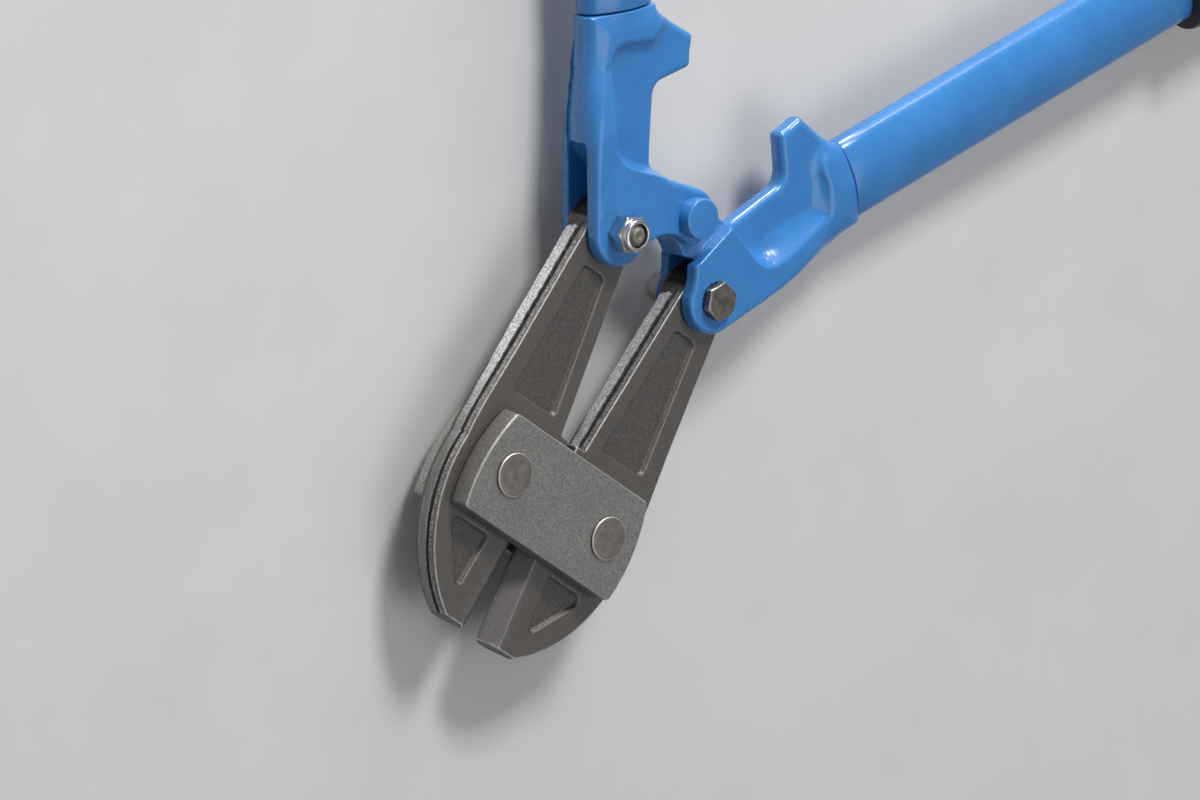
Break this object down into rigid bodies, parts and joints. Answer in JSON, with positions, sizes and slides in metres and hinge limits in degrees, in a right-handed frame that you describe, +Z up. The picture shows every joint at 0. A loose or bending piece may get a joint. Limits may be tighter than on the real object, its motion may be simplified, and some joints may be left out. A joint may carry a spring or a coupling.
{
  "type": "bolt cutters",
  "caption": "Compound-lever bolt cutters lying flat, forged jaws held by riveted straps, cast handle heads with stop hooks, oval tubes and ribbed grips.",
  "frame": {"origin": "under the middle of the tool's box, on the surface it lies on", "axes": "+X across the tool from the left handle to the right, +Y from the jaws to the handles, +Z up out of the tool's flat face"},
  "size_m": [0.4558, 0.3884, 0.0328],
  "materials": {
    "forged_steel": "drop-forged, grey-brown, fine grain",
    "strap_steel": "blasted grey steel, fine grain",
    "rivet_steel": "turned, dull brown-grey",
    "blue_casting": "glossy blue paint over a casting",
    "blue_tube": "glossy blue paint on drawn tube",
    "bolt_steel": "plain brown-grey steel",
    "washer_steel": "dark spring steel",
    "zinc_nut": "bright zinc plate",
    "nut_nylon": "nylon",
    "grip_vinyl": "soft black vinyl"
  },
  "bodies": {
    "straps": {"front_strap": "strap_steel", "rear_strap": "strap_steel", "left_rivet": "rivet_steel", "right_rivet": "rivet_steel"},
    "left_lever": {"left_jaw": "forged_steel"},
    "right_lever": {"right_jaw": "forged_steel"},
    "left_handle": {"left_head": "blue_casting", "left_bolt": "bolt_steel", "left_lock_washer": "washer_steel", "left_nut": "zinc_nut", "left_nut_ring": "nut_nylon", "left_tube": "blue_tube", "left_grip": "grip_vinyl", "pivot_pin": "blue_casting"},
    "right_handle": {"right_head": "blue_casting", "right_bolt": "bolt_steel", "right_lock_washer": "washer_steel", "right_nut": "zinc_nut", "right_nut_ring": "nut_nylon", "right_tube": "blue_tube", "right_grip": "grip_vinyl"}
  },
  "joints": [
    {"name": "left_jaw_pivot", "type": "hinge", "parent": "straps", "child": "left_lever", "pos_m": [-0.021, -0.15186, 0.0164], "axis": [0, 0, 1], "range_deg": [-1.08, 3.94]},
    {"name": "right_jaw_pivot", "type": "hinge", "parent": "straps", "child": "right_lever", "pos_m": [0.021, -0.15186, 0.0164], "axis": [0, 0, -1], "range_deg": [-1.08, 3.94]},
    {"name": "left_handle_swing", "type": "hinge", "parent": "left_lever", "child": "left_handle", "pos_m": [-0.0215, -0.07666, 0.0164], "axis": [0, 0, -1], "range_deg": [-9, 32.8]},
    {"name": "right_handle_swing", "type": "hinge", "parent": "right_lever", "child": "right_handle", "pos_m": [0.0215, -0.07666, 0.0164], "axis": [0, 0, 1], "range_deg": [-9, 32.8]}
  ],
  "couplings": [
    {"joint": "right_handle_swing", "follows": "left_handle_swing", "ratio": 1},
    {"joint": "left_jaw_pivot", "follows": "left_handle_swing", "ratio": 0.12},
    {"joint": "right_jaw_pivot", "follows": "left_handle_swing", "ratio": 0.12}
  ]
}
